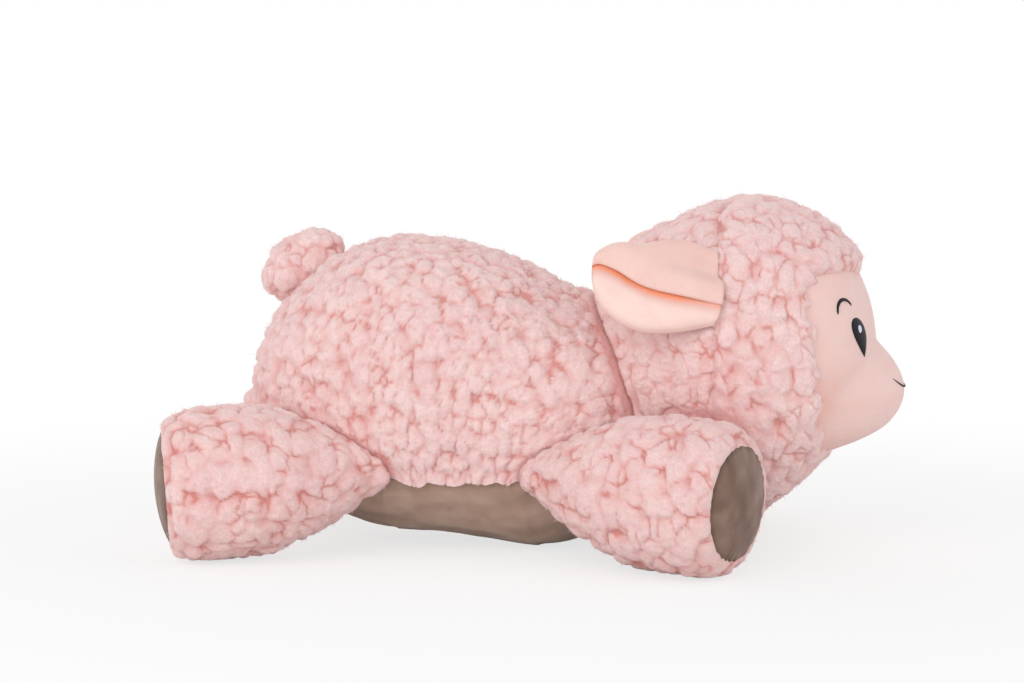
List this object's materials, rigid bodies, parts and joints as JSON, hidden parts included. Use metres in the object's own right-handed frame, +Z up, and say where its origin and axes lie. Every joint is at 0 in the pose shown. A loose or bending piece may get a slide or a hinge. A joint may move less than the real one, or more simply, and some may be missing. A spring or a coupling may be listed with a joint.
{
  "type": "plush sheep",
  "caption": "Stuffed plush sheep lying on its belly with outstretched legs, pompom tail, folded ears and an embroidered face.",
  "frame": {"origin": "middle of the flat on which the belly rests, on the ground", "axes": "+X forward to the face, +Y to the left side of the animal, +Z up"},
  "size_m": [0.3345, 0.2476, 0.163],
  "materials": {
    "fleece": "curly sherpa fleece, matte",
    "face_pile": "short-pile velboa, soft sheen",
    "ear_pile": "short-pile velboa, soft sheen",
    "belly_pile": "short-pile plush, soft sheen",
    "sole_pile": "short-pile plush, soft sheen",
    "stuffing": "polyester fibrefill, matte",
    "black_thread": "satin-stitched rayon thread",
    "pale_thread": "satin-stitched rayon thread"
  },
  "bodies": {
    "body": {"back_cover": "fleece", "belly_panel": "belly_pile", "body_filling": "stuffing"},
    "head": {"head_back_cover": "fleece", "head_front_cover": "fleece", "face_panel": "face_pile", "head_filling": "stuffing", "right_eye": "black_thread", "right_eye_glint": "pale_thread", "right_brow": "black_thread", "left_eye": "black_thread", "left_eye_glint": "pale_thread", "left_brow": "black_thread", "mouth": "black_thread"},
    "right_ear": {"right_ear_outer": "ear_pile", "right_ear_lining": "ear_pile"},
    "left_ear": {"left_ear_outer": "ear_pile", "left_ear_lining": "ear_pile"},
    "front_right_leg": {"front_right_leg_cover": "fleece", "front_right_leg_sole": "sole_pile", "front_right_leg_filling": "stuffing"},
    "front_left_leg": {"front_left_leg_cover": "fleece", "front_left_leg_sole": "sole_pile", "front_left_leg_filling": "stuffing"},
    "hind_right_leg": {"hind_right_leg_cover": "fleece", "hind_right_leg_sole": "sole_pile", "hind_right_leg_filling": "stuffing"},
    "hind_left_leg": {"hind_left_leg_cover": "fleece", "hind_left_leg_sole": "sole_pile", "hind_left_leg_filling": "stuffing"},
    "tail": {"tail_cover": "fleece", "tail_filling": "stuffing"}
  },
  "joints": [
    {"name": "head_nod", "type": "hinge", "parent": "body", "child": "head", "pos_m": [0, 0, 0.06], "axis": [0, 1, 0], "range_deg": [-10, 8], "stiffness_Nm_per_rad": 2.5, "springref_deg": -1.43},
    {"name": "right_ear_flap", "type": "hinge", "parent": "head", "child": "right_ear", "pos_m": [0.086, -0.05525, 0.126], "axis": [0, 0.4148, 0.9099], "range_deg": [-5, 60], "stiffness_Nm_per_rad": 0.05},
    {"name": "left_ear_flap", "type": "hinge", "parent": "head", "child": "left_ear", "pos_m": [0.086, 0.05525, 0.126], "axis": [0, 0.4148, -0.9099], "range_deg": [-5, 60], "stiffness_Nm_per_rad": 0.05},
    {"name": "front_right_leg_splay", "type": "hinge", "parent": "body", "child": "front_right_leg", "pos_m": [0.008, -0.05849, 0.039], "axis": [0, 0, -1], "range_deg": [0, 30], "stiffness_Nm_per_rad": 0.3},
    {"name": "front_left_leg_splay", "type": "hinge", "parent": "body", "child": "front_left_leg", "pos_m": [0.008, 0.05849, 0.039], "axis": [0, 0, 1], "range_deg": [0, 30], "stiffness_Nm_per_rad": 0.3},
    {"name": "hind_right_leg_splay", "type": "hinge", "parent": "body", "child": "hind_right_leg", "pos_m": [-0.068, -0.06022, 0.04], "axis": [0, 0, 1], "range_deg": [0, 30], "stiffness_Nm_per_rad": 0.3},
    {"name": "hind_left_leg_splay", "type": "hinge", "parent": "body", "child": "hind_left_leg", "pos_m": [-0.068, 0.06022, 0.04], "axis": [0, 0, -1], "range_deg": [0, 30], "stiffness_Nm_per_rad": 0.3},
    {"name": "tail_wag", "type": "hinge", "parent": "body", "child": "tail", "pos_m": [-0.108, 0, 0.12407], "axis": [0.829, 0, 0.5592], "range_deg": [-12, 12], "stiffness_Nm_per_rad": 0.1}
  ]
}
